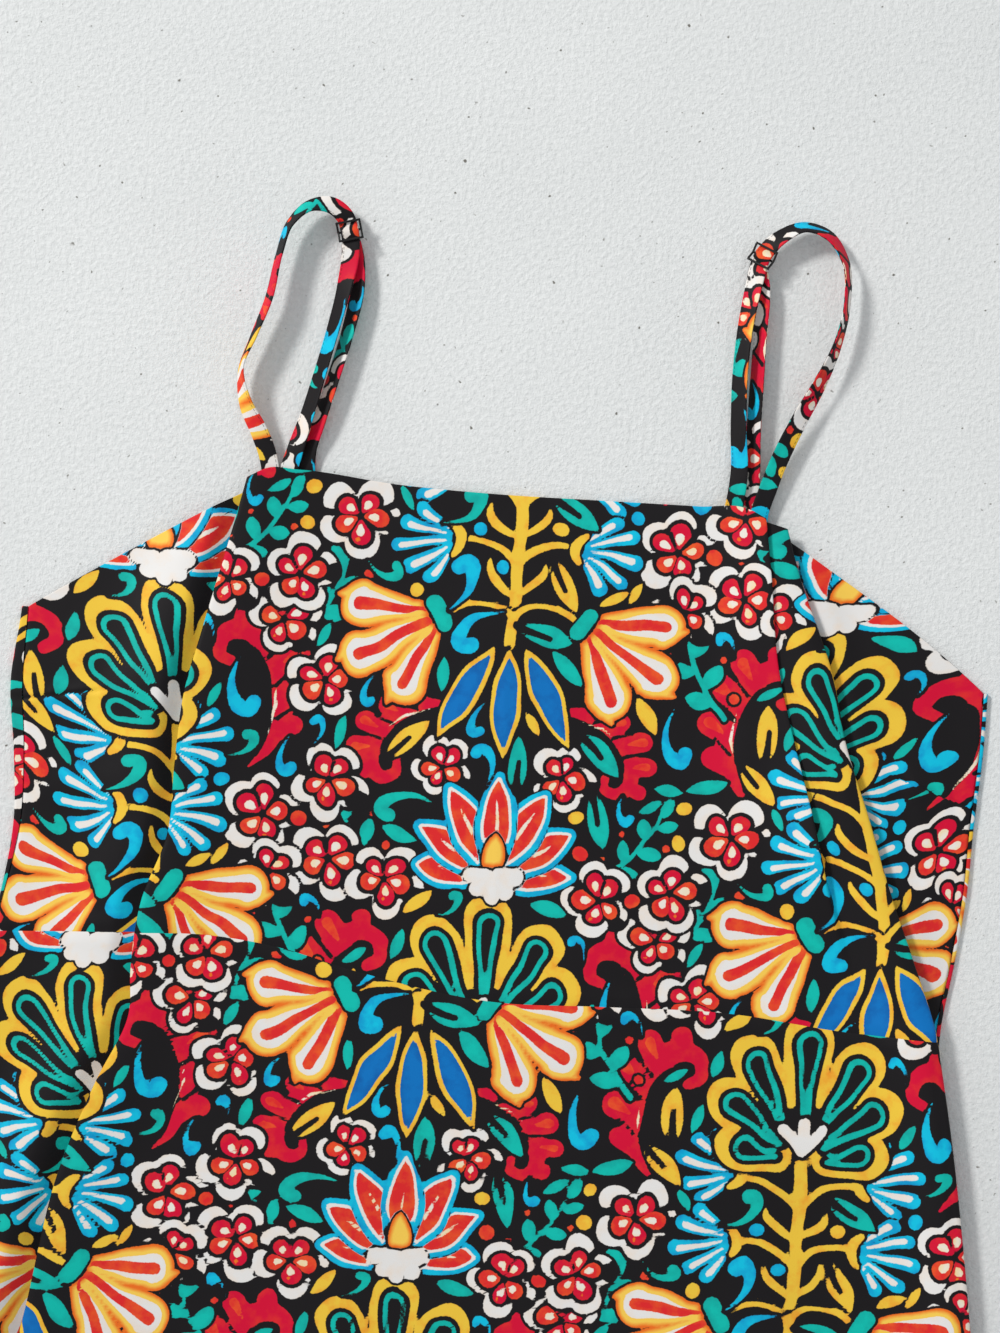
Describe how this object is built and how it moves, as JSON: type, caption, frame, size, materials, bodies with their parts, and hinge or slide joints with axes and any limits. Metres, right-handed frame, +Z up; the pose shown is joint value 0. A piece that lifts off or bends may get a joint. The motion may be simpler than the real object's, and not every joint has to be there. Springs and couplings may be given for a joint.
{
  "type": "maxi dress",
  "caption": "Sleeveless maxi dress laid flat with its front up: straight neckline, waist seam, flared skirt and thin shoulder straps with sliders.",
  "frame": {"origin": "middle of the dress's outline, on the surface that it lies on", "axes": "+Y up the dress towards the straps, +Z up off the surface, +X to the right as one looks down at the front"},
  "size_m": [0.851, 1.4003, 0.0188],
  "materials": {
    "cloth": "smooth printed polyester, black with a bright flower print",
    "lacquer": "black lacquer"
  },
  "bodies": {
    "root": {"front_bodice": "cloth", "back_bodice": "cloth", "front_skirt": "cloth", "back_skirt": "cloth", "left_strap": "cloth", "left_strap_return": "cloth", "right_strap": "cloth", "right_strap_return": "cloth", "left_slider": "lacquer", "right_slider": "lacquer"}
  },
  "joints": []
}
